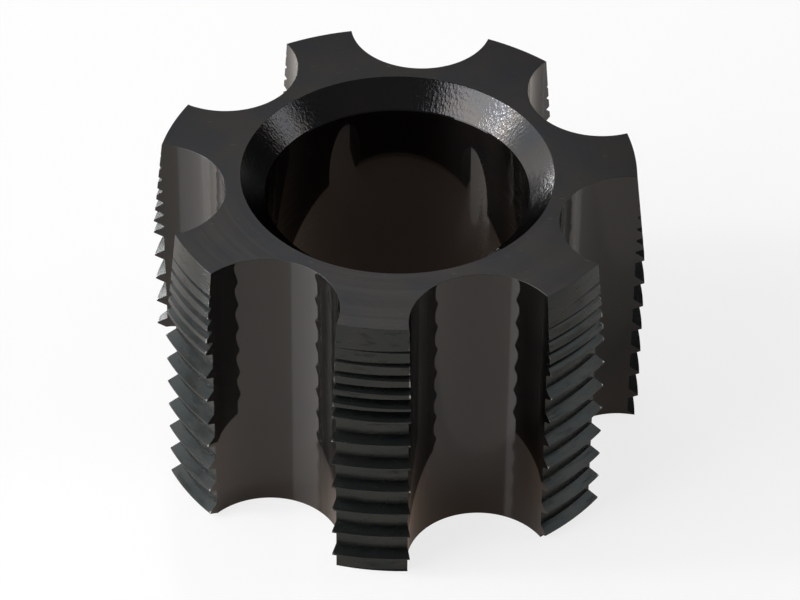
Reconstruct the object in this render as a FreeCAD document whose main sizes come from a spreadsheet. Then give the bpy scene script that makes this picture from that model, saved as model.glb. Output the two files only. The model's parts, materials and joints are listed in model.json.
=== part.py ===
"""Bottom bracket tap: a fluted ring of hardened steel that cuts a 1.370 inch by 24 thread.

The ring stands on its plain end with the lead end up. The origin is on the bore's axis at
the plain end, +Z runs to the lead end, and one land is centred on -Y.

The thread is right-handed. Seen from the lead end, each land cuts with its anticlockwise
edge. Near the lead end every tooth is there, cut back by a taper. Below that, every other
tooth along the helix is missing, so that each land has a gap where the next has a tooth.

Each land is modelled with its share of the ring, from the middle of one flute to the middle
of the next, and the lands are then joined into the one ring that the tap is. Last comes the
round-topped notch across the plain end, which takes the cross pin that turns the tap. It
starts at one land, whose lower teeth it takes away, and leaves through the flute opposite.
"""
import FreeCAD, Part
import math
import os
import Sketcher

NODE = "bottom_bracket_tap"

# Driving sizes, in millimetres and degrees. The thread's depth follows from its pitch, its
# angle and the two flats. Heights are from the plain end, and lead depths from the lead end.
SIZES = {
    "ring_height": 22.0,
    "bore_diameter": 18.3,
    "countersink_width": 1.7,
    "foot_countersink_width": 1.9,
    "countersink_angle": 90.0,
    "notch_width": 7.0,
    "notch_depth": 6.3,
    "major_diameter": 34.9,
    "thread_pitch": 1.0583,
    "thread_angle": 60.0,
    "crest_width": 0.11,
    "root_width": 0.14,
    "first_crest_height": 1.7,
    "full_tooth_depth": 7.0,
    "lead_drop": 0.83,
    "lead_depth": 7.6,
    "relief_offset": 0.38,
    "flute_count": 7,
    "flute_diameter": 10.1,
    "flute_circle": 33.94,
    "ridge_seat": 0.4,
    "cut_past": 1.0,
}
FRONT_LAND_ANGLE = -90
NOTCHED_LAND = 5

# Expressions that more than one feature uses
BORE_RADIUS = "(sizes.bore_diameter / 2)"
MAJOR_RADIUS = "(sizes.major_diameter / 2)"
TOOTH_BASE = "(sizes.thread_pitch - sizes.root_width)"
THREAD_DEPTH = f"(({TOOTH_BASE} - sizes.crest_width) / 2 / tan(sizes.thread_angle / 2))"
ROOT_RADIUS = f"({MAJOR_RADIUS} - {THREAD_DEPTH})"
LEAD_RADIUS = f"({MAJOR_RADIUS} - sizes.lead_drop)"
CUT_RADIUS = f"({MAJOR_RADIUS} + sizes.cut_past)"
SECTOR = "(360 / sizes.flute_count)"
FLUTE_HALF_GAP = (
    "(acos((sizes.major_diameter ^ 2 + sizes.flute_circle ^ 2 - sizes.flute_diameter ^ 2)"
    " / (2 * sizes.major_diameter * sizes.flute_circle)) / 1 deg)"
)
# A tooth's ridge ends over a flute, half way between the land's edge and the next ridge
RIDGE_SWEEP = f"({SECTOR} - {FLUTE_HALF_GAP})"


def make_sheet(doc):
    """Put the driving sizes into a spreadsheet, one alias for each."""
    sheet = doc.addObject("Spreadsheet::Sheet", "sizes")
    for row, (name, number) in enumerate(SIZES.items(), start=1):
        sheet.set(f"A{row}", name)
        sheet.set(f"B{row}", str(number))
        sheet.setAlias(f"B{row}", name)
    doc.recompute()
    return sheet


def land_angle(land):
    """Give the expression of a land's angle round the bore, in degrees from +X."""
    return f"({FRONT_LAND_ANGLE} + {land} * {SECTOR})"


def new_sketch(body, name, role):
    """Start a sketch flat on one of the body's own origin planes."""
    plane = next(item for item in body.Origin.OriginFeatures if item.Role == role)
    sketch = body.newObject("Sketcher::SketchObject", name)
    sketch.AttachmentSupport = [(plane, "")]
    sketch.MapMode = "FlatFace"
    sketch.Visibility = False
    return sketch


def section_sketch(body, name, angle, shift="0"):
    """Start a sketch in an upright plane through the bore's axis.

    angle is the plane's angle in degrees from +X, and shift moves the plane along its own
    normal, anticlockwise as seen from the lead end. Both are expressions.
    """
    sketch = new_sketch(body, name, "XZ_Plane")
    upright = FreeCAD.Rotation(FreeCAD.Vector(0, 1, 0), 1)
    sketch.AttachmentOffset = FreeCAD.Placement(FreeCAD.Vector(0, 0, 0), upright)
    sketch.setExpression("AttachmentOffset.Rotation.Angle", angle)
    sketch.setExpression("AttachmentOffset.Base.x", f"-({shift}) * sin({angle})")
    sketch.setExpression("AttachmentOffset.Base.z", f"-({shift}) * cos({angle})")
    return sketch


def point_at(sketch, across, up):
    """Work out a sketch point from its two expressions."""
    return FreeCAD.Vector(
        float(sketch.evalExpression(across)), float(sketch.evalExpression(up)), 0
    )


def hold_point(sketch, edge, end, across, up):
    """Hold one end of an edge at two distances from the sketch's origin."""
    point = point_at(sketch, across, up)
    for kind, number, expression in (
        ("DistanceX", point.x, across),
        ("DistanceY", point.y, up),
    ):
        place = sketch.addConstraint(Sketcher.Constraint(kind, -1, 1, edge, end, number))
        sketch.setExpression(f"Constraints[{place}]", expression)


def draw_outline(sketch, corners):
    """Close straight edges through corners, each given as two expressions."""
    points = [point_at(sketch, across, up) for across, up in corners]
    count = len(points)
    for i in range(count):
        sketch.addGeometry(Part.LineSegment(points[i], points[(i + 1) % count]), False)
    for i in range(count):
        sketch.addConstraint(Sketcher.Constraint("Coincident", i, 2, (i + 1) % count, 1))
    for i, (across, up) in enumerate(corners):
        hold_point(sketch, i, 1, across, up)


def sweep_sector(body, kind, name, sketch):
    """Turn a section about its own upright axis, over one land's share of the ring."""
    feature = body.newObject(f"PartDesign::{kind}", name)
    feature.Profile = sketch
    feature.ReferenceAxis = (sketch, ["V_Axis"])
    feature.Midplane = True
    feature.setExpression("Angle", SECTOR)


def turn_blank(body, land):
    """Turn the blank at the thread's root diameter, its bore countersunk at both ends."""
    half_angle = "(sizes.countersink_angle / 2)"
    sketch = section_sketch(body, f"blank_section_{land}", land_angle(land))
    draw_outline(
        sketch,
        [
            (f"{BORE_RADIUS} + sizes.foot_countersink_width", "0"),
            (ROOT_RADIUS, "0"),
            (ROOT_RADIUS, "sizes.ring_height"),
            (f"{BORE_RADIUS} + sizes.countersink_width", "sizes.ring_height"),
            (BORE_RADIUS, f"sizes.ring_height - sizes.countersink_width / tan({half_angle})"),
            (BORE_RADIUS, f"sizes.foot_countersink_width / tan({half_angle})"),
        ],
    )
    sweep_sector(body, "Revolution", f"blank_{land}", sketch)


def footing(sheet, land):
    """Give the height up to which the notch takes the whole of a land away.

    There its rounded top is as wide as the land is at the roots of the teeth. A land that
    the notch misses, or that is wider than the notch, keeps its footing all the way down.
    """
    root_radius = float(sheet.evalExpression(ROOT_RADIUS))
    flute_offset = sheet.flute_circle / 2
    reach = root_radius**2 + flute_offset**2 - (sheet.flute_diameter / 2) ** 2
    half_gap = math.acos(reach / (2 * root_radius * flute_offset))
    half_land = root_radius * math.sin(math.pi / sheet.flute_count - half_gap)
    roof_radius = sheet.notch_width / 2
    if land != NOTCHED_LAND or half_land >= roof_radius:
        return 0
    return sheet.notch_depth - roof_radius + math.sqrt(roof_radius**2 - half_land**2)


def tooth_rows(sheet, land):
    """Give a land's two rows of teeth as (first crest, spacing, count), in pitches.

    Crests are counted from the front land's first one. From land to land the helix climbs
    by a pitch over the number of lands, and below the lead every other tooth of it is
    missing. The rows start at the lowest tooth with some land to stand on, and reach half
    a pitch past the lead end.
    """
    pitch = sheet.thread_pitch
    phase = land / sheet.flute_count
    phase_of_gaps = phase + land % 2
    lowest = (footing(sheet, land) - sheet.first_crest_height) / pitch - 0.5
    highest = (sheet.ring_height - sheet.first_crest_height) / pitch + 0.5
    change = max(highest - 0.5 - sheet.full_tooth_depth / pitch, lowest)
    low = phase_of_gaps + 2 * math.ceil((lowest - phase_of_gaps) / 2)
    full = phase + math.ceil(change - phase)
    return [
        (low, 2, math.ceil((change - low) / 2)),
        (full, 1, math.floor(highest - full) + 1),
    ]


def wind_row(body, name, angle, height):
    """Wind one tooth's ridge, seated a little way into the ring below its roots."""
    seat_radius = f"{ROOT_RADIUS} - sizes.ridge_seat"
    sketch = section_sketch(body, f"{name}_section", angle)
    draw_outline(
        sketch,
        [
            (seat_radius, f"{height} - {TOOTH_BASE} / 2"),
            (ROOT_RADIUS, f"{height} - {TOOTH_BASE} / 2"),
            (MAJOR_RADIUS, f"{height} - sizes.crest_width / 2"),
            (MAJOR_RADIUS, f"{height} + sizes.crest_width / 2"),
            (ROOT_RADIUS, f"{height} + {TOOTH_BASE} / 2"),
            (seat_radius, f"{height} + {TOOTH_BASE} / 2"),
        ],
    )
    ridge = body.newObject("PartDesign::AdditiveHelix", name)
    ridge.Profile = sketch
    ridge.ReferenceAxis = (sketch, ["V_Axis"])
    ridge.Mode = "pitch-height-angle"
    ridge.setExpression("Pitch", "sizes.thread_pitch")
    ridge.setExpression("Height", f"sizes.thread_pitch * {RIDGE_SWEEP} / 360")
    return ridge


def add_teeth(body, sheet, land):
    """Add a land's teeth: one ridge for each row, repeated along the bore's axis."""
    angle = f"({land_angle(land)} - {RIDGE_SWEEP} / 2)"
    for row, (first, spacing, count) in enumerate(tooth_rows(sheet, land)):
        if count < 1:
            continue
        turns = f"({first} - {RIDGE_SWEEP} / 720)"
        height = f"(sizes.first_crest_height + {turns} * sizes.thread_pitch)"
        ridge = wind_row(body, f"tooth_{land}_{row}", angle, height)
        if count > 1:
            teeth = body.newObject("PartDesign::LinearPattern", f"teeth_{land}_{row}")
            teeth.Originals = [ridge]
            teeth.Direction = (ridge.Profile[0], ["V_Axis"])
            teeth.setExpression("Length", f"{spacing * (count - 1)} * sizes.thread_pitch")
            teeth.Occurrences = count
            body.Tip = teeth


def face_ends(body, land):
    """Face off what the teeth leave standing past the two ends of the ring."""
    past = "(sizes.thread_pitch + sizes.cut_past)"
    ends = {
        "plain_end": (f"-{past}", "0"),
        "lead_end": ("sizes.ring_height", f"sizes.ring_height + {past}"),
    }
    for name, (low, high) in ends.items():
        sketch = section_sketch(body, f"{name}_section_{land}", land_angle(land))
        draw_outline(
            sketch,
            [(BORE_RADIUS, low), (CUT_RADIUS, low), (CUT_RADIUS, high), (BORE_RADIUS, high)],
        )
        sweep_sector(body, "Groove", f"{name}_{land}", sketch)


def relieve_lead(body, land):
    """Taper the lead about an axis set off from the bore's, towards the cutting edge.

    The land then falls away behind that edge.
    """
    slope = "(sizes.lead_drop / sizes.lead_depth)"
    above = "sizes.ring_height + sizes.cut_past"
    shift = "sizes.relief_offset"
    sketch = section_sketch(body, f"lead_section_{land}", land_angle(land), shift)
    draw_outline(
        sketch,
        [
            (f"{LEAD_RADIUS} - sizes.cut_past * {slope}", above),
            (CUT_RADIUS, f"sizes.ring_height - ({CUT_RADIUS} - {LEAD_RADIUS}) / {slope}"),
            (CUT_RADIUS, above),
        ],
    )
    sweep_sector(body, "Groove", f"lead_taper_{land}", sketch)


def cut_flutes(body, sheet, land):
    """Mill the round flute on either side of the land, the whole way through."""
    sketch = new_sketch(body, f"flute_section_{land}", "XY_Plane")
    for circle, side in enumerate((-1, 1)):
        angle = f"({land_angle(land)} + {side} * {SECTOR} / 2)"
        across = f"sizes.flute_circle / 2 * cos({angle})"
        back = f"sizes.flute_circle / 2 * sin({angle})"
        centre = point_at(sketch, across, back)
        radius = sheet.flute_diameter / 2
        sketch.addGeometry(Part.Circle(centre, FreeCAD.Vector(0, 0, 1), radius), False)
        hold_point(sketch, circle, 3, across, back)
        size = sketch.addConstraint(Sketcher.Constraint("Diameter", circle, 2 * radius))
        sketch.setExpression(f"Constraints[{size}]", "sizes.flute_diameter")
    flutes = body.newObject("PartDesign::Pocket", f"flutes_{land}")
    flutes.Profile = sketch
    flutes.Type = "ThroughAll"
    flutes.Midplane = True


def build_land(doc, sheet, land):
    """Build one land with its share of the ring."""
    body = doc.addObject("PartDesign::Body", f"land_{land}")
    turn_blank(body, land)
    add_teeth(body, sheet, land)
    face_ends(body, land)
    relieve_lead(body, land)
    cut_flutes(body, sheet, land)
    return body


def notch_tool(doc):
    """Make the round-topped bar that the notch across the plain end leaves room for."""
    body = doc.addObject("PartDesign::Body", "notch_tool")
    sketch = section_sketch(body, "notch_section", f"({land_angle(NOTCHED_LAND)} + 90)")
    right = "sizes.notch_width / 2"
    left = f"-{right}"
    low = "-sizes.cut_past"
    spring = f"sizes.notch_depth - {right}"
    corners = [(left, low), (right, low), (right, spring), (left, spring)]
    points = [point_at(sketch, across, up) for across, up in corners]
    centre = point_at(sketch, "0", spring)
    roof = Part.Circle(centre, FreeCAD.Vector(0, 0, 1), points[2].x)
    sketch.addGeometry(Part.LineSegment(points[0], points[1]), False)
    sketch.addGeometry(Part.LineSegment(points[1], points[2]), False)
    sketch.addGeometry(Part.ArcOfCircle(roof, 0, math.pi), False)
    sketch.addGeometry(Part.LineSegment(points[3], points[0]), False)
    for edge in range(4):
        sketch.addConstraint(Sketcher.Constraint("Coincident", edge, 2, (edge + 1) % 4, 1))
    for edge, (across, up) in enumerate(corners):
        hold_point(sketch, edge, 1, across, up)
    level = sketch.addConstraint(Sketcher.Constraint("DistanceY", -1, 1, 2, 3, centre.y))
    sketch.setExpression(f"Constraints[{level}]", spring)
    bar = body.newObject("PartDesign::Pad", "notch_bar")
    bar.Profile = sketch
    bar.Midplane = True
    bar.setExpression("Length", "sizes.major_diameter + 2 * sizes.cut_past")
    return body


def check_document(doc, tap):
    """Stop if a feature failed or the tap is not one closed solid."""
    for item in doc.Objects:
        if "Invalid" in item.State or "Error" in item.State:
            raise RuntimeError(f"{item.Name} failed: {item.State}")
    shape = tap.Shape
    if shape.isNull() or not shape.isValid() or len(shape.Solids) != 1:
        raise RuntimeError(f"{tap.Label} is not one valid solid")


def main():
    """Build the tap, check it and write its solid."""
    doc = FreeCAD.newDocument("ring_tap")
    sheet = make_sheet(doc)
    ring = doc.addObject("Part::MultiFuse", "ring")
    ring.Shapes = [build_land(doc, sheet, land) for land in range(int(sheet.flute_count))]
    ring.Refine = True
    tap = doc.addObject("Part::Cut", "tap")
    tap.Label = NODE
    tap.Base = ring
    tap.Tool = notch_tool(doc)
    doc.recompute()
    check_document(doc, tap)
    os.makedirs("parts", exist_ok=True)
    tap.Shape.exportStep(f"parts/{NODE}.step")
    print(f"{NODE}: {tap.Shape.Volume:.1f} cubic mm, {len(tap.Shape.Faces)} faces")


main()
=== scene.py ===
"""Bottom bracket tap: the looks of a blackened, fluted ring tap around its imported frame.

The ring stands on its plain end with the tapered lead end up. The lengths are in metres, in
the frame's own axes: the bore runs along +Z and one land is centred on -Y.
"""

import json
import logging
import math
from dataclasses import dataclass, field
from enum import Enum
from typing import Any, Sequence

import bpy
from bpy.types import Material, Node, NodeSocket, Object
from mathutils import Matrix, Vector

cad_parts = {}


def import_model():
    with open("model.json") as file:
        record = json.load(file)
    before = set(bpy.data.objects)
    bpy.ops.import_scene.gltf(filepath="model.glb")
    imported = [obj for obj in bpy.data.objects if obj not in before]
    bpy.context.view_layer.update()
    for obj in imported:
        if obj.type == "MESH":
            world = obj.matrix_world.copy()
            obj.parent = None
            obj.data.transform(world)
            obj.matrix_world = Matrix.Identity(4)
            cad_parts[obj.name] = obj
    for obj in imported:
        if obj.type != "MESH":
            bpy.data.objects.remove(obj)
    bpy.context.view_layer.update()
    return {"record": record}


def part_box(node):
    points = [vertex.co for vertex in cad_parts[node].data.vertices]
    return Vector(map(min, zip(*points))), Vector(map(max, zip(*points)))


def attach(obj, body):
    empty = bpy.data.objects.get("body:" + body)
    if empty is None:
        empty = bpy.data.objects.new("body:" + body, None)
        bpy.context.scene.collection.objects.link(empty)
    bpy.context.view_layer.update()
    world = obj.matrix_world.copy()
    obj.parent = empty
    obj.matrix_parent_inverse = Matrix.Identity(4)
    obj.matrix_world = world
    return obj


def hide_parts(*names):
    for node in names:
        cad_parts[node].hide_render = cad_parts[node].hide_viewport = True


LOG = logging.getLogger("ring_tap")
MM = 0.001
NODE = "bottom_bracket_tap"
TEETH_ACROSS = 34.9 * MM
QUARTER_TURN = 0.25

Point = tuple[float, float, float]


class Region(Enum):
    """The parts of the surface that were machined in different ways."""

    THREAD = 0
    FLUTE = 1
    LEAD_FACE = 2
    COUNTERSINK = 3
    BORE = 4
    PLAIN_END = 5
    NOTCH = 6


def mount_called(record: dict[str, Any], name: str) -> dict[str, Any]:
    """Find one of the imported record's mounts by its name."""
    return next(mount for mount in record["mounts"] if mount["name"] == name)


@dataclass(frozen=True)
class RingSizes:
    """The ring without its teeth."""

    height: float
    bore_radius: float
    countersink_depth: float
    foot_countersink_depth: float
    major_radius: float
    lands: int = 7
    front_angle: float = -math.pi / 2
    flute_radius: float = 5.05 * MM
    flute_circle: float = 16.97 * MM
    edge_break: float = 0.012 * MM
    throat_break: float = 0.05 * MM

    @classmethod
    def from_frame(cls, record: dict[str, Any], teeth_across: float) -> "RingSizes":
        """Read the ring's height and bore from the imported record.

        Args:
            record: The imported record, with the bore among its mounts.
            teeth_across: The diameter over the teeth.

        Returns:
            The ring's sizes.
        """
        bore = mount_called(record, "bore")
        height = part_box(NODE)[1][2]
        middle = bore["pos_m"][2]
        half_length = bore["dims"]["length_mm"] * MM / 2
        return cls(
            height=height,
            bore_radius=bore["dims"]["r_mm"] * MM,
            countersink_depth=height - middle - half_length,
            foot_countersink_depth=middle - half_length,
            major_radius=teeth_across / 2,
        )

    @property
    def sector(self) -> float:
        """Angle from one land to the next."""
        return math.tau / self.lands

    @property
    def countersink_radius(self) -> float:
        """Radius of the countersink, which is cut at 45 degrees, at the lead end."""
        return self.bore_radius + self.countersink_depth

    @property
    def foot_countersink_radius(self) -> float:
        """Radius of the plain end's countersink, which is cut at 45 degrees too."""
        return self.bore_radius + self.foot_countersink_depth

    def land_angle(self, land: int) -> float:
        """Angle of a land's middle round the bore."""
        return self.front_angle + land * self.sector

    def half_gap(self, radius: float) -> float:
        """Half the angle that a flute takes out of the ring at a radius."""
        reach = radius**2 + self.flute_circle**2 - self.flute_radius**2
        return math.acos(reach / (2 * radius * self.flute_circle))


@dataclass(frozen=True)
class ThreadForm:
    """The right-hand 60 degree thread, its gaps, and the taper that cuts back its lead."""

    ring: RingSizes
    pitch: float = 1.0583 * MM
    flank_angle: float = math.radians(30)
    crest_width: float = 0.11 * MM
    root_width: float = 0.14 * MM
    first_crest: float = 1.7 * MM
    full_tooth_depth: float = 7.0 * MM
    lead_drop: float = 0.83 * MM
    lead_depth: float = 7.6 * MM
    relief_offset: float = 0.38 * MM
    spare_turns: int = 4

    @property
    def flank_slope(self) -> float:
        """Rise of a flank for each length along the bore."""
        return 1 / math.tan(self.flank_angle)

    @property
    def half_base(self) -> float:
        """Half the width of a tooth at its root."""
        return (self.pitch - self.root_width) / 2

    @property
    def root_radius(self) -> float:
        """Radius of the flats between the teeth."""
        depth = (self.half_base - self.crest_width / 2) * self.flank_slope
        return self.ring.major_radius - depth

    def lead_slope(self) -> float:
        """Fall of the lead taper for each length along the bore."""
        return self.lead_drop / self.lead_depth

    def lead_limit(self, offset: float, height: float) -> float:
        """Radius that the lead taper leaves standing.

        Args:
            offset: Angle from the middle of the land, anticlockwise.
            height: Height above the plain end.

        Returns:
            The largest radius there.
        """
        own = self.ring.major_radius - self.lead_drop
        own += self.lead_slope() * (self.ring.height - height)
        across = self.relief_offset * math.cos(offset)
        return self.relief_offset * math.sin(offset) + math.sqrt(own**2 - across**2)

    def crest_heights(self, land: int) -> list[float]:
        """Heights of a land's crests, without the teeth that are missing.

        Args:
            land: The land's number.

        Returns:
            The heights at the middle of the land, from the plain end up.
        """
        phase = land / self.ring.lands
        change = self.ring.height - self.full_tooth_depth
        turns = math.ceil(self.ring.height / self.pitch) + self.spare_turns
        heights = []
        for turn in range(-self.spare_turns, turns):
            height = self.first_crest + (phase + turn) * self.pitch
            kept = height >= change or (turn + land) % 2 == 0
            if kept and -self.half_base < height < self.ring.height + self.pitch:
                heights.append(height)
        return heights

    def radius(self, offset: float, height: float, crests: Sequence[float]) -> float:
        """Radius of a land's surface.

        Args:
            offset: Angle from the middle of the land, anticlockwise.
            height: Height above the plain end.
            crests: The land's crest heights at its middle.

        Returns:
            The radius of the tooth or root there, below the lead taper.
        """
        middle = height - self.pitch * offset / math.tau
        away = min(abs(middle - crest) for crest in crests) - self.crest_width / 2
        tooth = self.ring.major_radius - max(away, 0.0) * self.flank_slope
        return min(max(tooth, self.root_radius), self.lead_limit(offset, height))

    def tooth_corners(self, offset: float, crest: float) -> list[float]:
        """Heights of the four corners of one tooth's outline.

        Args:
            offset: Angle from the middle of the land, anticlockwise.
            crest: The tooth's crest height at the middle of the land.

        Returns:
            Heights of the lower base, the two ends of the crest and the upper base.
        """
        middle = crest + self.pitch * offset / math.tau
        fall = self.lead_slope()
        low_crest = middle - self.crest_width / 2
        high_crest = middle + self.crest_width / 2
        low_base = middle - self.half_base
        high_base = middle + self.half_base
        spare = self.lead_limit(offset, low_crest) - self.ring.major_radius
        if spare < 0:
            low_crest += spare / (self.flank_slope + fall)
        spare = self.lead_limit(offset, high_crest) - self.ring.major_radius
        if spare < 0:
            high_crest -= spare / (self.flank_slope - fall)
        return [low_base, max(low_crest, low_base), min(high_crest, high_base), high_base]


class Surface:
    """Collects the corners and faces of one closed mesh, and welds corners that meet."""

    WELD = 0.0001 * MM

    def __init__(self) -> None:
        """Start with nothing."""
        self.corners: list[Point] = []
        self.known: dict[tuple[int, ...], int] = {}
        self.faces: list[list[int]] = []
        self.regions: list[Region] = []

    def corner(self, x: float, y: float, z: float) -> int:
        """Give the number of the corner at a place, and add it if it is new."""
        key = tuple(round(value / self.WELD) for value in (x, y, z))
        if key not in self.known:
            self.known[key] = len(self.corners)
            self.corners.append((x, y, z))
        return self.known[key]

    def polar(self, radius: float, angle: float, height: float) -> int:
        """Give the number of a corner by its radius and angle round the bore."""
        return self.corner(radius * math.cos(angle), radius * math.sin(angle), height)

    def face(self, loop: Sequence[int], region: Region) -> None:
        """Add a face, without the corners that fall together.

        Args:
            loop: Corner numbers, anticlockwise as seen from outside.
            region: How that part of the surface was machined.
        """
        slim = [a for a, b in zip(loop, [*loop[1:], loop[0]]) if a != b]
        if len(set(slim)) >= 3:
            self.faces.append(slim)
            self.regions.append(region)

    def strip(self, left: Sequence[int], right: Sequence[int], region: Region) -> None:
        """Join two chains of equal length, both from the bottom up, with quads."""
        for i in range(len(left) - 1):
            self.face([left[i], right[i], right[i + 1], left[i + 1]], region)

    def zip_up(self, left: Sequence[int], right: Sequence[int], region: Region) -> None:
        """Join two chains of unequal length with triangles.

        Args:
            left: Corner numbers of the clockwise chain, from the bottom up.
            right: Corner numbers of the anticlockwise chain, from the bottom up.
            region: How that part of the surface was machined.
        """
        i = j = 0
        while i < len(left) - 1 or j < len(right) - 1:
            more_left = i < len(left) - 1
            more_right = j < len(right) - 1
            next_left = self.corners[left[i + 1]][2] if more_left else math.inf
            next_right = self.corners[right[j + 1]][2] if more_right else math.inf
            if next_left <= next_right:
                self.face([left[i], right[j], left[i + 1]], region)
                i += 1
            else:
                self.face([left[i], right[j], right[j + 1]], region)
                j += 1

    def mesh(self, name: str, finishes: Sequence[Material]) -> Object:
        """Make the Blender object.

        Args:
            name: The object's name.
            finishes: One material for each region, in the order of Region.

        Returns:
            The new object, linked to the scene.
        """
        data = bpy.data.meshes.new(name)
        data.from_pydata(self.corners, [], self.faces)
        for finish in finishes:
            data.materials.append(finish)
        data.polygons.foreach_set("material_index", [r.value for r in self.regions])
        data.update()
        piece = bpy.data.objects.new(name, data)
        bpy.context.collection.objects.link(piece)
        return piece


@dataclass
class Land:
    """One land: a band of the ring's outside with its teeth, from its heel to its edge."""

    ring: RingSizes
    thread: ThreadForm
    number: int
    columns: int = 12
    settle_rounds: int = 6

    def corner_at(self, surface: Surface, share: float, row: tuple[float, int]) -> int:
        """Add the corner where a row of the thread crosses a column of the land.

        Args:
            surface: Where the corner goes.
            share: Place across the land, from 0 at the heel to 1 at the cutting edge.
            row: Crest height and corner of a tooth, or an end's height and -1.

        Returns:
            The corner's number.
        """
        crests = self.thread.crest_heights(self.number)
        low = self.ring.edge_break
        high = self.ring.height - self.ring.edge_break
        radius = self.thread.root_radius
        offset = height = 0.0
        for _ in range(self.settle_rounds):
            half_width = self.ring.sector / 2 - self.ring.half_gap(radius)
            offset = (2 * share - 1) * half_width
            height = row[0]
            if row[1] >= 0:
                height = self.thread.tooth_corners(offset, row[0])[row[1]]
            height = min(max(height, low), high)
            radius = self.thread.radius(offset, height, crests)
        angle = self.ring.land_angle(self.number) + offset
        return surface.polar(radius, angle, height)

    def build(self, surface: Surface) -> list[list[int]]:
        """Add the land's faces.

        Args:
            surface: Where the faces go.

        Returns:
            The land's upright chains of corners, from the heel to the cutting edge.
        """
        rows = [(0.0, -1)]
        for crest in self.thread.crest_heights(self.number):
            rows += [(crest, corner) for corner in range(4)]
        rows.append((self.ring.height, -1))
        chains = [
            [self.corner_at(surface, column / self.columns, row) for row in rows]
            for column in range(self.columns + 1)
        ]
        for left, right in zip(chains, chains[1:]):
            surface.strip(left, right, Region.THREAD)
        return chains


@dataclass
class Flute:
    """One round flute, from the cutting edge of a land to the heel of the next."""

    ring: RingSizes
    number: int
    columns: int = 21
    widest: float = math.radians(76)

    def chain(self, surface: Surface, turn: float, like: Sequence[int]) -> list[int]:
        """Add an upright chain of corners on the flute.

        Args:
            surface: Where the corners go.
            turn: Angle round the flute's own axis, from its floor, anticlockwise.
            like: The chain whose heights are taken over.

        Returns:
            The corners' numbers, from the bottom up.
        """
        ring = self.ring
        middle = ring.land_angle(self.number) + ring.sector / 2
        out = ring.flute_circle - ring.flute_radius * math.cos(turn)
        along = ring.flute_radius * math.sin(turn)
        x = out * math.cos(middle) - along * math.sin(middle)
        y = out * math.sin(middle) + along * math.cos(middle)
        return [surface.corner(x, y, surface.corners[corner][2]) for corner in like]

    def build(
        self, surface: Surface, edge: Sequence[int], heel: Sequence[int]
    ) -> list[list[int]]:
        """Add the flute's faces.

        Args:
            surface: Where the faces go.
            edge: The cutting edge's chain, on the flute's clockwise side.
            heel: The next land's heel, on its anticlockwise side.

        Returns:
            The flute's own chains, anticlockwise.
        """
        step = 2 * self.widest / (2 * self.columns + 1)
        turns = [self.widest - step * i for i in range(self.columns + 1)]
        near = [self.chain(surface, -turn, edge) for turn in turns]
        far = [self.chain(surface, turn, heel) for turn in reversed(turns)]
        for left, right in zip([edge, *near], near):
            surface.strip(left, right, Region.FLUTE)
        surface.zip_up(near[-1], far[0], Region.FLUTE)
        for left, right in zip(far, [*far[1:], heel]):
            surface.strip(left, right, Region.FLUTE)
        return near + far


@dataclass(frozen=True)
class Notch:
    """The round-topped notch across the plain end, which takes the cross pin."""

    axis: Vector
    spring_height: float
    reach: float
    half_width: float = 3.5 * MM
    below: float = 1.0 * MM
    beyond: float = 1.0 * MM
    roof_steps: int = 36

    @classmethod
    def from_frame(cls, record: dict[str, Any], ring: RingSizes) -> "Notch":
        """Read the notch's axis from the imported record.

        Args:
            record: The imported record, with the notch among its mounts.
            ring: The ring that the notch runs right across.

        Returns:
            The notch.
        """
        mount = mount_called(record, "drive_notch")
        reach = ring.major_radius + cls.beyond
        return cls(Vector(mount["axis"]).normalized(), mount["pos_m"][2], reach)

    def outline(self) -> list[tuple[float, float]]:
        """Places across the notch and up it, anticlockwise as seen along its axis."""
        turns = [math.pi * i / self.roof_steps for i in range(self.roof_steps + 1)]
        roof = [
            (
                self.half_width * math.cos(turn),
                self.spring_height + self.half_width * math.sin(turn),
            )
            for turn in turns
        ]
        return [(-self.half_width, -self.below), (self.half_width, -self.below), *roof]

    def cutter(self, finishes: Sequence[Material]) -> Object:
        """Make the bar that the notch leaves room for.

        Args:
            finishes: One material for each region, in the order of Region.

        Returns:
            The bar, which is only there to cut with.
        """
        across = Vector((-self.axis.y, self.axis.x, 0))
        surface = Surface()
        ends: list[list[int]] = []
        for reach in (-self.reach, self.reach):
            places = [
                across * aside + Vector((0, 0, up)) + self.axis * reach
                for aside, up in self.outline()
            ]
            ends.append([surface.corner(*place) for place in places])
        near, far = ends
        surface.face(near[::-1], Region.NOTCH)
        surface.face(far, Region.NOTCH)
        for i in range(len(near)):
            surface.face([near[i - 1], near[i], far[i], far[i - 1]], Region.NOTCH)
        return surface.mesh("notch_cutter", finishes)

    def cut(self, piece: Object, finishes: Sequence[Material]) -> None:
        """Cut the notch out of a closed mesh.

        Args:
            piece: The object to cut, which gets a new mesh.
            finishes: One material for each region, in the order of Region.
        """
        cutter = self.cutter(finishes)
        modifier = piece.modifiers.new("notch", "BOOLEAN")
        modifier.operation = "DIFFERENCE"
        modifier.solver = "EXACT"
        modifier.object = cutter
        graph = bpy.context.evaluated_depsgraph_get()
        notched = bpy.data.meshes.new_from_object(piece.evaluated_get(graph))
        piece.modifiers.clear()
        piece.data = notched
        bpy.data.objects.remove(cutter)


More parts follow.
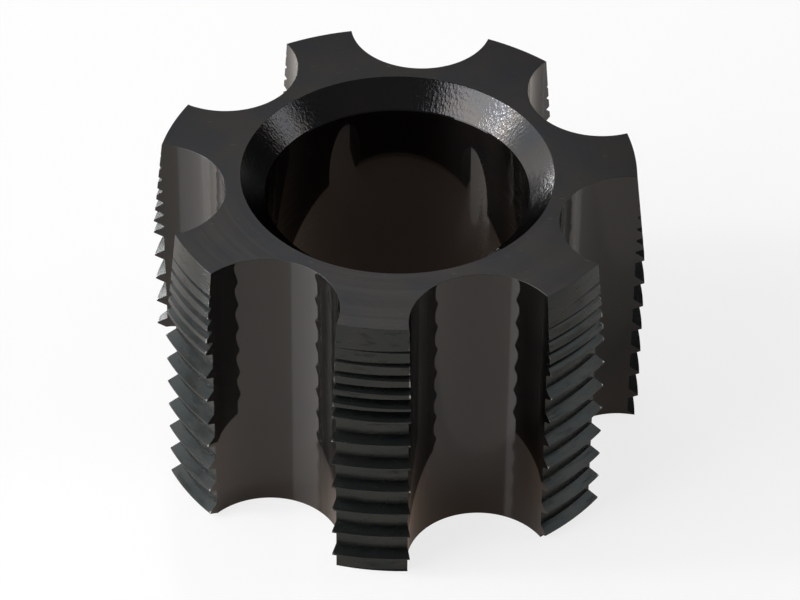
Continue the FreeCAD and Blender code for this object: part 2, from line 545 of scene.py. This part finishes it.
@dataclass
class RingTap:
    """The whole tap: lands, flutes, ends, countersink and bore in one closed mesh."""

    ring: RingSizes
    thread: ThreadForm
    notch: Notch
    bore_steps: int = 8
    real_edge: float = math.radians(12)
    surface: Surface = field(default_factory=Surface)

    def build_outside(self) -> list[list[int]]:
        """Add the lands and flutes, and give all their chains anticlockwise."""
        lands = [
            Land(self.ring, self.thread, number).build(self.surface)
            for number in range(self.ring.lands)
        ]
        chains: list[list[int]] = []
        for number, land in enumerate(lands):
            following = lands[(number + 1) % len(lands)]
            flute = Flute(self.ring, number)
            chains += land
            chains += flute.build(self.surface, land[-1], following[0])
        return chains

    def inset(self, loop: Sequence[int], height: float) -> list[int]:
        """Copy the outline to an end face, drawn in by the broken edge.

        Args:
            loop: The outline's corners, anticlockwise.
            height: The end face's height.

        Returns:
            The new corners, in the same order.
        """
        places = [Vector(self.surface.corners[corner]) for corner in loop]
        drawn = []
        for i, place in enumerate(places):
            before = place - places[i - 1]
            after = places[(i + 1) % len(places)] - place
            along = (before.normalized() + after.normalized()).normalized()
            inward = Vector((-along.y, along.x, 0)) * self.ring.edge_break
            moved = place + inward
            drawn.append(self.surface.corner(moved.x, moved.y, height))
        return drawn

    def circle(self, radius: float, height: float, count: int) -> list[int]:
        """Add a circle of corners round the bore, in step with the outside's chains."""
        step = math.tau / count
        start = self.ring.front_angle - step * Land.columns / 2
        return [self.surface.polar(radius, start + step * i, height) for i in range(count)]

    def ring_of_faces(
        self, outer: Sequence[int], inner: Sequence[int], region: Region
    ) -> None:
        """Join two loops of the same count, which face the way that their order turns."""
        count = len(outer)
        for i in range(count):
            after = (i + 1) % count
            self.surface.face([outer[i], outer[after], inner[after], inner[i]], region)

    def section(self) -> list[tuple[float, float, Region]]:
        """Radii and heights down the inside, each with the region of the band above it."""
        ring = self.ring
        soft = ring.edge_break
        turn = ring.throat_break
        throat = ring.height - ring.countersink_depth
        foot = ring.foot_countersink_depth
        rows = [
            (ring.countersink_radius + soft, ring.height, Region.LEAD_FACE),
            (ring.countersink_radius - soft, ring.height - soft, Region.COUNTERSINK),
            (ring.bore_radius + turn, throat + turn, Region.COUNTERSINK),
        ]
        for step in range(self.bore_steps + 1):
            share = step / self.bore_steps
            height = (throat - turn) * (1 - share) + (foot + turn) * share
            rows.append((ring.bore_radius, height, Region.BORE))
        rows += [
            (ring.bore_radius + turn, foot - turn, Region.BORE),
            (ring.foot_countersink_radius - soft, soft, Region.COUNTERSINK),
            (ring.foot_countersink_radius + soft, 0.0, Region.PLAIN_END),
        ]
        return rows

    def build_inside(self, chains: Sequence[Sequence[int]]) -> None:
        """Add the two end faces, the countersinks and the bore.

        Args:
            chains: The outside's upright chains, anticlockwise.
        """
        top_loop = [chain[-1] for chain in chains]
        low_loop = [chain[0] for chain in chains]
        top_edge = self.inset(top_loop, self.ring.height)
        low_edge = self.inset(low_loop, 0.0)
        self.ring_of_faces(top_loop, top_edge, Region.LEAD_FACE)
        above = top_edge
        for radius, height, region in self.section():
            below = self.circle(radius, height, len(chains))
            self.ring_of_faces(above, below, region)
            above = below
        self.ring_of_faces(above, low_edge, Region.PLAIN_END)
        self.ring_of_faces(low_edge, low_loop, Region.PLAIN_END)

    def build(self, finishes: Sequence[Material]) -> Object:
        """Make the tap, dressed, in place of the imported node.

        Args:
            finishes: One material for each region, in the order of Region.

        Returns:
            The tap's object.
        """
        self.build_inside(self.build_outside())
        piece = self.surface.mesh("ring_tap", finishes)
        self.notch.cut(piece, finishes)
        piece.data.polygons.foreach_set("use_smooth", [True] * len(piece.data.polygons))
        piece.data.set_sharp_from_angle(angle=self.real_edge)
        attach(piece, "root")
        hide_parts(NODE)
        return piece


class Wiring:
    """The nodes of one material or world, with short calls to add and join them."""

    def __init__(self, owner: Any) -> None:
        """Take hold of the owner's nodes."""
        owner.use_nodes = True
        self.tree = owner.node_tree

    def put(self, socket: NodeSocket, value: Any) -> None:
        """Join an output to an input, or write a plain value into it."""
        if isinstance(value, NodeSocket):
            self.tree.links.new(value, socket)
        else:
            socket.default_value = value

    def add(self, kind: str, inputs: dict[Any, Any], **settings: Any) -> Node:
        """Add a node.

        Args:
            kind: The node's type, without the word that all shader nodes start with.
            inputs: Values or outputs for its inputs, by name or place.
            **settings: The node's own settings.

        Returns:
            The node.
        """
        node = self.tree.nodes.new(f"ShaderNode{kind}")
        for name, value in settings.items():
            setattr(node, name, value)
        for name, value in inputs.items():
            self.put(node.inputs[name], value)
        return node

    def maths(self, operation: str, *values: Any) -> NodeSocket:
        """Work with plain numbers or single outputs."""
        return self.add("Math", dict(enumerate(values)), operation=operation).outputs[0]

    def span(self, value: Any, low: float, high: float, *to: Any) -> NodeSocket:
        """Bring a value smoothly from one range to another, 0 to 1 unless it is given."""
        start, end = to or (0.0, 1.0)
        limits = {"Value": value, "From Min": low, "From Max": high}
        limits |= {"To Min": start, "To Max": end}
        return self.add("MapRange", limits, interpolation_type="SMOOTHSTEP").outputs[0]

    def place(self) -> tuple[NodeSocket, NodeSocket, NodeSocket, NodeSocket]:
        """Give the place on the part in millimetres: itself, its radius, angle and height."""
        object_place = self.add("TexCoord", {}).outputs["Object"]
        scaled = self.add(
            "VectorMath", {0: object_place, "Scale": 1 / MM}, operation="SCALE"
        ).outputs[0]
        flat = self.stretched(scaled, (1, 1, 0))
        radius = self.add("VectorMath", {0: flat}, operation="LENGTH").outputs["Value"]
        parts = self.add("SeparateXYZ", {0: scaled}).outputs
        return scaled, radius, self.maths("ARCTAN2", parts["Y"], parts["X"]), parts["Z"]

    def stretched(self, where: NodeSocket, factors: Point) -> NodeSocket:
        """Scale a place by its own factor along each axis."""
        inputs = {0: where, 1: factors}
        return self.add("VectorMath", inputs, operation="MULTIPLY").outputs[0]

    def noise(self, where: NodeSocket, scale: float, detail: float = 2.0) -> NodeSocket:
        """Add plain noise, about 0.5, at a scale for each millimetre."""
        inputs = {"Vector": where, "Scale": scale, "Detail": detail}
        return self.add("TexNoise", inputs, noise_dimensions="3D").outputs[0]

    def mix(self, share: Any, first: Any, second: Any) -> NodeSocket:
        """Mix two colours; the sockets of one kind are found by their place."""
        inputs = {0: share, 6: first, 7: second}
        return self.add("Mix", inputs, data_type="RGBA").outputs[2]

    def joined(self, *parts: Any) -> NodeSocket:
        """Join three numbers to one place."""
        return self.add("CombineXYZ", dict(enumerate(parts))).outputs[0]


@dataclass(frozen=True)
class Oxide:
    """A black oxide finish over plain machining; each kind of machining adds its marks."""

    name: str
    colour: tuple[float, float, float] = (0.05, 0.047, 0.045)
    tint: tuple[float, float, float] = (0.042, 0.043, 0.046)
    roughness: float = 0.3
    spread: float = 0.1
    mark_depth: float = 0.001 * MM
    metallic: float = 1.0
    film: float = 0.0
    film_roughness: float = 0.04
    film_index: float = 1.4
    groove: float = 0.0
    mottle: float = 6.0
    detail: float = 3.0
    mark_range: tuple[float, float] = (0.3, 0.7)
    drift_scale: float = 0.35
    drift_range: tuple[float, float] = (0.35, 0.65)

    def marks(self, wiring: Wiring) -> NodeSocket:
        """Give the pattern of the machining's marks, about 0.5."""
        return wiring.noise(wiring.place()[0], self.mottle, self.detail)

    def shade(self, wiring: Wiring) -> NodeSocket:
        """Give the colour, which drifts a little from one tint to the other."""
        cloud = wiring.noise(wiring.place()[0], self.drift_scale)
        drift = wiring.span(cloud, *self.drift_range)
        return wiring.mix(drift, (*self.colour, 1), (*self.tint, 1))

    def material(self) -> Material:
        """Make the finish's material.

        Returns:
            A material with the finish's colour, roughness, marks and film.
        """
        material = bpy.data.materials.new(self.name)
        wiring = Wiring(material)
        shader = wiring.tree.nodes["Principled BSDF"]
        marks = self.marks(wiring)
        smoothest = self.roughness - self.spread / 2
        roughest = self.roughness + self.spread / 2
        rough = wiring.span(marks, *self.mark_range, smoothest, roughest)
        bump = {"Height": marks, "Strength": 1.0, "Distance": self.mark_depth}
        wiring.put(shader.inputs["Base Color"], self.shade(wiring))
        wiring.put(shader.inputs["Roughness"], rough)
        wiring.put(shader.inputs["Normal"], wiring.add("Bump", bump).outputs[0])
        shader.inputs["Metallic"].default_value = self.metallic
        shader.inputs["Coat Weight"].default_value = self.film
        shader.inputs["Coat Roughness"].default_value = self.film_roughness
        shader.inputs["Coat IOR"].default_value = self.film_index
        if self.groove:
            around = wiring.add("Tangent", {}, direction_type="RADIAL", axis="Z")
            wiring.put(shader.inputs["Tangent"], around.outputs[0])
            shader.inputs["Anisotropic"].default_value = self.groove
            shader.inputs["Anisotropic Rotation"].default_value = QUARTER_TURN
        return material


@dataclass(frozen=True)
class GroundFlute(Oxide):
    """The flute's bright grinding, with faint streaks along the bore."""

    across: float = 5.0
    along: float = 0.12

    def marks(self, wiring: Wiring) -> NodeSocket:
        """Give streaks that run up the flute."""
        drawn = wiring.stretched(wiring.place()[0], (self.across, self.across, self.along))
        return wiring.noise(drawn, 1.0)


@dataclass(frozen=True)
class TurnedFace(Oxide):
    """A face or bore that was turned: fine rings round the axis."""

    rings: float = 5.0

    def marks(self, wiring: Wiring) -> NodeSocket:
        """Give rings by radius and height, a little broken up round the bore."""
        _, radius, angle, height = wiring.place()
        along = wiring.maths("ADD", radius, height)
        where = wiring.joined(wiring.maths("MULTIPLY", along, self.rings), angle, 0.0)
        return wiring.noise(where, 1.0, self.detail)


@dataclass(frozen=True)
class ScratchedFace(TurnedFace):
    """A turned face with a few short light scratches."""

    scratch: tuple[float, float, float] = (0.11, 0.11, 0.115)
    stretch: tuple[float, float, float] = (0.9, 7.0, 1.0)
    peak_range: tuple[float, float] = (0.72, 0.80)
    peak_detail: float = 1.0

    def shade(self, wiring: Wiring) -> NodeSocket:
        """Give the oxide's colour, with scratches where a drawn-out noise peaks."""
        drawn = wiring.stretched(wiring.place()[0], self.stretch)
        peaks = wiring.span(wiring.noise(drawn, 1.0, self.peak_detail), *self.peak_range)
        return wiring.mix(peaks, super().shade(wiring), (*self.scratch, 1))


@dataclass(frozen=True)
class ChatteredCone(Oxide):
    """The countersink, with the short radial chatter marks of its cutter."""

    chatter: float = 52.0
    grains: float = 4.5

    def marks(self, wiring: Wiring) -> NodeSocket:
        """Give short radial grains."""
        _, radius, angle, _ = wiring.place()
        turned = wiring.maths("MULTIPLY", angle, self.chatter)
        out = wiring.maths("MULTIPLY", radius, self.grains)
        return wiring.noise(wiring.joined(turned, out, 0.0), 1.0, self.detail)


@dataclass(frozen=True)
class WornAndGlintingThread(Oxide):
    """The thread: stained along its teeth, and worn bright where its crests meet the flutes;
    that bright bare steel is partly real wear and partly a painted glint.
    """

    # Bare steel colour at the crest corners: partly worn-off oxide, partly a painted glint on
    # the edges
    bare_steel_glint: tuple[float, float, float] = (0.42, 0.42, 0.41)
    stain: tuple[float, float, float] = (0.022, 0.024, 0.024)
    wear_and_glint_radii: tuple[float, float] = (17.30, 17.45)
    lead_start: float = 14.4
    lead_slope: float = 0.109
    corner_turns: tuple[float, float] = (0.145, 0.152)
    mark_scales: tuple[float, float] = (1.0, 4.0)
    stain_scales: tuple[float, float] = (0.5, 2.0)
    stain_range: tuple[float, float] = (0.54, 0.74)
    stain_share: float = 0.6
    spot_scale: float = 3.0
    spot_range: tuple[float, float] = (0.44, 0.62)

    def streaks(self, wiring: Wiring, along: float, across: float) -> NodeSocket:
        """Give a noise that is drawn out along the teeth.

        Args:
            wiring: The nodes to add it to.
            along: Scale along the teeth, for each millimetre.
            across: Scale across the teeth, for each millimetre.

        Returns:
            The noise, about 0.5.
        """
        _, radius, angle, height = wiring.place()
        round_bore = wiring.maths("MULTIPLY", angle, along * self.wear_and_glint_radii[0])
        up = wiring.maths("MULTIPLY", height, across)
        out = wiring.maths("MULTIPLY", radius, across)
        return wiring.noise(wiring.joined(round_bore, up, out), 1.0)

    def marks(self, wiring: Wiring) -> NodeSocket:
        """Give the fine streaks that cutting leaves along the teeth."""
        return self.streaks(wiring, *self.mark_scales)

    def wear_and_glint(self, wiring: Wiring) -> NodeSocket:
        """Give the wear and painted glint, which is 1 in spots at the corners of the crests.

        Args:
            wiring: The nodes to add it to.

        Returns:
            The wear and painted glint, 0 on the flanks, at the roots and away from the flutes.
        """
        place, radius, angle, height = wiring.place()
        sector = math.tau / RingSizes.lands
        from_front = wiring.maths("SUBTRACT", angle, RingSizes.front_angle - sector / 2)
        share = wiring.maths("FLOORED_MODULO", from_front, sector)
        offset = wiring.maths("ABSOLUTE", wiring.maths("SUBTRACT", share, sector / 2))
        corner = wiring.span(offset, *self.corner_turns)
        spots = wiring.span(wiring.noise(place, self.spot_scale), *self.spot_range)
        above = wiring.maths("MAXIMUM", wiring.maths("SUBTRACT", height, self.lead_start), 0.0)
        taper = wiring.maths("MULTIPLY", above, self.lead_slope)
        full = wiring.maths("ADD", radius, taper)
        crest = wiring.maths("MULTIPLY", wiring.span(full, *self.wear_and_glint_radii), spots)
        return wiring.maths("MULTIPLY", crest, corner)

    def shade(self, wiring: Wiring) -> NodeSocket:
        """Give the oxide's colour, with dark stains along the teeth and the wear with its
        painted glint.
        """
        clouds = self.streaks(wiring, *self.stain_scales)
        stained = wiring.span(clouds, *self.stain_range, 0.0, self.stain_share)
        plain = wiring.mix(stained, super().shade(wiring), (*self.stain, 1))
        # Lighten the crest corners: partly wear, partly a painted glint
        return wiring.mix(self.wear_and_glint(wiring), plain, (*self.bare_steel_glint, 1))


def ring_finishes() -> list[Material]:
    """Make one material for each region, in the order of Region."""
    kinds = {
        Region.THREAD: WornAndGlintingThread(
            "oxide_thread",
            colour=(0.046, 0.052, 0.052),
            tint=(0.052, 0.055, 0.054),
            roughness=0.25,
            spread=0.06,
            mark_depth=0.0004 * MM,
        ),
        Region.FLUTE: GroundFlute(
            "oxide_flute",
            colour=(0.004, 0.0035, 0.003),
            tint=(0.003, 0.003, 0.003),
            roughness=0.36,
            spread=0.04,
            film=1.0,
            film_index=1.57,
            groove=1.0,
        ),
        Region.LEAD_FACE: ScratchedFace(
            "oxide_lead_face", roughness=0.36, spread=0.06, mark_depth=0.0003 * MM
        ),
        Region.COUNTERSINK: ChatteredCone(
            "oxide_countersink",
            roughness=0.15,
            spread=0.1,
            mark_depth=0.022 * MM,
            groove=0.2,
        ),
        Region.BORE: TurnedFace(
            "oxide_bore",
            colour=(0.005, 0.004, 0.0035),
            tint=(0.004, 0.004, 0.004),
            roughness=0.5,
            mark_depth=0.00002 * MM,
            film=1.0,
            groove=0.95,
        ),
        Region.PLAIN_END: TurnedFace("oxide_plain_end", roughness=0.4),
        Region.NOTCH: Oxide("oxide_notch", roughness=0.3),
    }
    return [kinds[region].material() for region in Region]


@dataclass(frozen=True)
class SoftLamp:
    """A flat soft lamp that faces the tap."""

    name: str
    azimuth: float
    elevation: float
    distance: float
    width: float
    height: float
    radiance: float

    def build(self) -> None:
        """Hang the lamp; its power follows from its radiance and its size."""
        data = bpy.data.lights.new(self.name, "AREA")
        data.shape = "RECTANGLE"
        data.size = self.width
        data.size_y = self.height
        data.energy = self.radiance * math.pi * self.width * self.height
        lamp = bpy.data.objects.new(self.name, data)
        lamp.visible_camera = False
        bpy.context.collection.objects.link(lamp)
        side = math.radians(self.azimuth)
        rise = math.radians(self.elevation)
        away = Vector(
            (math.sin(side) * math.cos(rise), -math.cos(side) * math.cos(rise), math.sin(rise))
        )
        lamp.location = away * self.distance
        lamp.rotation_mode = "QUATERNION"
        lamp.rotation_quaternion = away.to_track_quat("Z", "Y")


# Azimuth and elevation in degrees, distance, width and height in metres, and radiance
LAMPS = (
    SoftLamp("left_panel", -65, 26, 0.6, 0.54, 0.6, 4.9),
    SoftLamp("left_lamp", -80, 29, 0.6, 0.06, 0.09, 64.0),
    SoftLamp("rear_left_panel", -114, 20, 0.6, 0.6, 0.4, 1.8),
    SoftLamp("rear_left_lamp", -140, 7, 0.6, 0.04, 0.10, 26.0),
    SoftLamp("right_lamp", 102, 29, 0.6, 0.13, 0.25, 2.7),
    SoftLamp("rear_right_panel", 113, 53, 0.5, 0.22, 0.22, 0.9),
    SoftLamp("back_panel", -167, 57, 0.146, 0.07, 0.07, 1.6),
)


@dataclass
class Studio:
    """A polished pale floor, soft lamps, a room that is pale at the horizon, and the camera."""

    aim_height: float = 10.4 * MM
    aim_side: float = 0.24 * MM
    distance: float = 298.7 * MM
    elevation: float = math.radians(40.5)
    azimuth: float = math.radians(5.45)
    roll: float = math.radians(0.43)
    lens: float = 189.7
    sensor: float = 36.0
    near: float = 0.01
    floor_reach: float = 3.0
    floor_roughness: float = 0.12
    floor_specular: float = 1.0
    paper_colour: tuple[float, float, float] = (0.76, 0.69, 0.63)
    paper_seen: tuple[float, float, float] = (0.96, 0.95, 0.94)
    glow_seen: float = 0.78
    glow_mirrored: float = 0.33
    glow_open: float = 0.08
    bore_shade: tuple[float, float, float] = (0.80, 0.57, 0.44)
    shade_radii: tuple[float, float] = (10.5, 24.0)
    horizon: float = 0.5
    front_ceiling: float = 0.18
    back_ceiling: float = 0.06
    ceiling_turn: float = 0.6
    ceiling_rise: float = 0.12

    def camera(self) -> None:
        """Place the camera."""
        data = bpy.data.cameras.new("camera")
        data.lens = self.lens
        data.sensor_width = self.sensor
        data.clip_start = self.near
        camera = bpy.data.objects.new("camera", data)
        bpy.context.collection.objects.link(camera)
        turn = Matrix.Rotation(self.azimuth, 4, "Z")
        tilt = Matrix.Rotation(math.pi / 2 - self.elevation, 4, "X")
        spin = Matrix.Rotation(self.roll, 4, "Z")
        out = Matrix.Translation((self.aim_side, 0, self.distance))
        aim = Matrix.Translation((0, 0, self.aim_height))
        camera.matrix_world = aim @ turn @ tilt @ out @ spin
        bpy.context.scene.camera = camera

    def paper(self) -> Material:
        """Make the floor's polished paper.

        Returns:
            A material that is white to the eye, pale in the metal's mirror images, darker
            there under the bore, and clear from below.
        """
        material = bpy.data.materials.new("floor_paper")
        wiring = Wiring(material)
        tree = wiring.tree
        shader = tree.nodes["Principled BSDF"]
        shader.inputs["Roughness"].default_value = self.floor_roughness
        shader.inputs["Specular IOR Level"].default_value = self.floor_specular
        rays = wiring.add("LightPath", {}).outputs
        paper = wiring.mix(rays["Is Camera Ray"], (*self.paper_colour, 1), (*self.paper_seen, 1))
        wiring.put(shader.inputs["Base Color"], paper)
        radius = wiring.place()[1]
        open_air = wiring.span(radius, *self.shade_radii)
        seen = wiring.maths("MAXIMUM", rays["Is Camera Ray"], rays["Is Transmission Ray"])
        seen = wiring.maths("MULTIPLY", seen, self.glow_seen)
        reach = wiring.span(radius, *self.shade_radii, self.glow_mirrored, self.glow_open)
        mirrored = wiring.maths("MULTIPLY", rays["Is Glossy Ray"], reach)
        glow = wiring.maths("MAXIMUM", seen, mirrored)
        pale = wiring.maths("MAXIMUM", open_air, rays["Is Camera Ray"])
        tone = wiring.mix(pale, (*self.bore_shade, 1), (1, 1, 1, 1))
        white = wiring.add("Emission", {"Color": tone, "Strength": 1.0}).outputs[0]
        lit = wiring.add("MixShader", {0: glow, 1: shader.outputs[0], 2: white}).outputs[0]
        under = wiring.add("NewGeometry", {}).outputs["Backfacing"]
        clear = wiring.add("BsdfTransparent", {}).outputs[0]
        whole = wiring.add("MixShader", {0: under, 1: lit, 2: clear}).outputs[0]
        wiring.put(tree.nodes["Material Output"].inputs["Surface"], whole)
        return material

    def floor(self) -> None:
        """Lay the floor that the tap stands on."""
        data = bpy.data.meshes.new("floor")
        far = self.floor_reach
        corners = [(-far, -far, 0), (far, -far, 0), (far, far, 0), (-far, far, 0)]
        data.from_pydata(corners, [], [(0, 1, 2, 3)])
        data.materials.append(self.paper())
        floor = bpy.data.objects.new("floor", data)
        bpy.context.collection.objects.link(floor)

    def room(self) -> None:
        """Light the room: pale at the horizon, dim above, and dimmer behind than in front."""
        world = bpy.data.worlds.new("room")
        bpy.context.scene.world = world
        wiring = Wiring(world)
        direction = wiring.add("TexCoord", {}).outputs["Generated"]
        parts = wiring.add("SeparateXYZ", {0: direction}).outputs
        turn = self.ceiling_turn
        ceiling = wiring.span(parts["Y"], -turn, turn, self.front_ceiling, self.back_ceiling)
        tone = wiring.span(parts["Z"], 0.0, self.ceiling_rise, self.horizon, ceiling)
        wiring.put(wiring.tree.nodes["Background"].inputs["Color"], tone)

    def build(self) -> None:
        """Set up everything round the tap."""
        self.camera()
        self.floor()
        self.room()
        for lamp in LAMPS:
            lamp.build()
            LOG.info("%s: lit", lamp.name)
        bpy.context.scene.view_settings.view_transform = "Standard"


def main() -> None:
    """Build the tap and the studio, and report each."""
    logging.basicConfig(level=logging.INFO, format="%(message)s")
    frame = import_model()
    ring = RingSizes.from_frame(frame["record"], TEETH_ACROSS)
    notch = Notch.from_frame(frame["record"], ring)
    piece = RingTap(ring, ThreadForm(ring), notch).build(ring_finishes())
    LOG.info("%s: %d faces", piece.name, len(piece.data.polygons))
    Studio().build()


if __name__ == "__main__":
    main()
